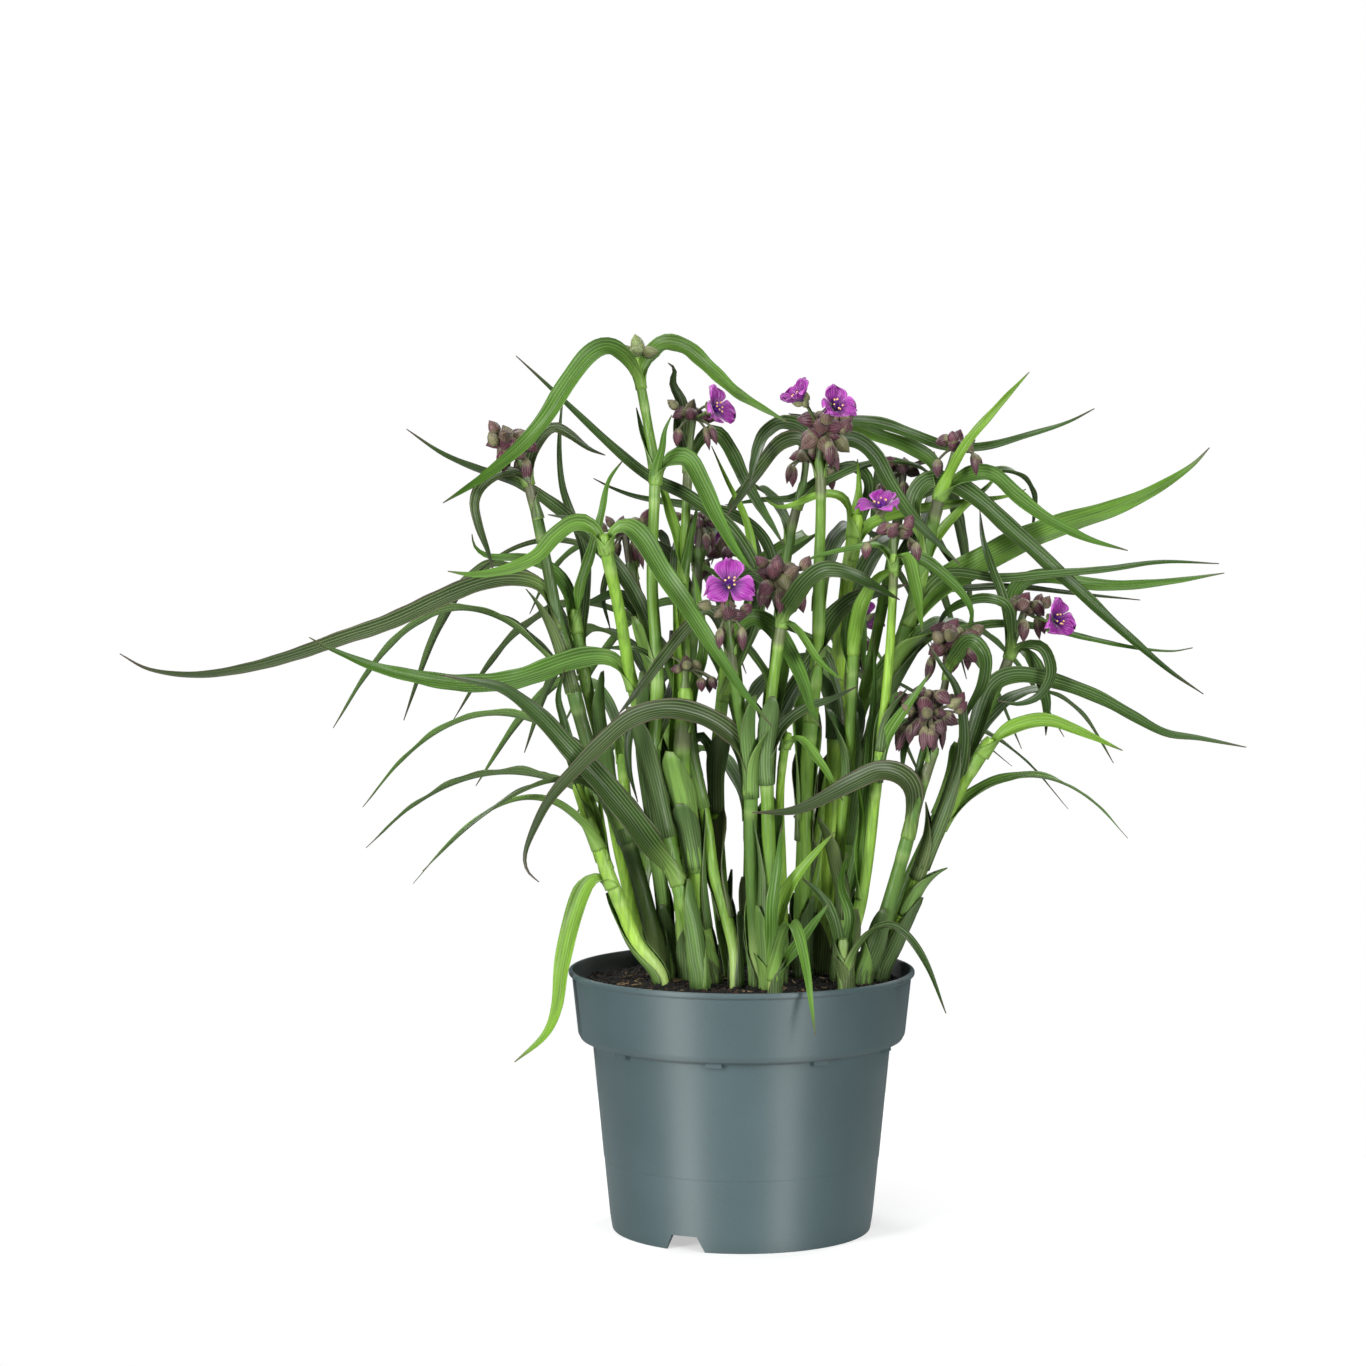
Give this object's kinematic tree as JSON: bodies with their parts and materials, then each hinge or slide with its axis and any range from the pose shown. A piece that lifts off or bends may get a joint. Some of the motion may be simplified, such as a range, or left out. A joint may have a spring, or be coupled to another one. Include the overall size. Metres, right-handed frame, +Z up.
{
  "type": "potted spiderwort plant",
  "caption": "Upright spiderwort (tradescantia) with jointed stems, long strap leaves, bud clusters and purple three-petalled flowers, in a round plastic nursery pot of soil.",
  "frame": {"origin": "the middle of the pot's foot, on the surface it stands on", "axes": "+Z up; -Y is the side the picture shows; +X to the right seen from there"},
  "size_m": [0.6146, 0.3508, 0.4933],
  "materials": {
    "pot_plastic": "satin",
    "soil": "matte",
    "leaf_and_stem": "satin",
    "bud": "matte",
    "petal": "satin"
  },
  "bodies": {
    "root": {"pot": "pot_plastic", "potting_soil": "soil", "shoot_01": "leaf_and_stem", "shoot_02": "leaf_and_stem", "shoot_03": "leaf_and_stem", "shoot_04": "leaf_and_stem", "shoot_05": "leaf_and_stem", "shoot_06": "leaf_and_stem", "shoot_07": "leaf_and_stem", "shoot_08": "leaf_and_stem", "shoot_09": "leaf_and_stem", "shoot_10": "leaf_and_stem", "shoot_11": "leaf_and_stem", "shoot_12": "leaf_and_stem", "shoot_13": "leaf_and_stem", "shoot_14": "leaf_and_stem", "shoot_15": "leaf_and_stem", "shoot_16": "leaf_and_stem", "shoot_17": "leaf_and_stem", "shoot_18": "leaf_and_stem", "shoot_19": "leaf_and_stem", "shoot_20": "leaf_and_stem", "shoot_21": "leaf_and_stem", "shoot_22": "leaf_and_stem", "shoot_23": "leaf_and_stem", "shoot_24": "leaf_and_stem", "shoot_25": "leaf_and_stem", "shoot_26": "leaf_and_stem", "shoot_27": "leaf_and_stem", "shoot_28": "leaf_and_stem", "shoot_29": "leaf_and_stem", "bud_head_01": "bud", "bud_head_02": "bud", "bud_head_03": "bud", "bud_head_04": "bud", "bud_head_05": "bud", "bud_head_06": "bud", "bud_head_07": "bud", "bud_head_08": "bud", "bud_head_09": "bud", "bud_head_10": "bud", "bud_head_11": "bud", "bud_head_12": "bud", "bud_head_13": "bud", "bud_head_14": "bud", "bud_head_15": "bud", "bud_head_16": "bud", "bud_head_17": "bud", "bud_head_18": "bud", "flower_01": "petal", "flower_02": "petal", "flower_03": "petal", "flower_04": "petal", "flower_05": "petal", "flower_06": "petal", "flower_07": "petal", "flower_08": "petal"}
  },
  "joints": []
}
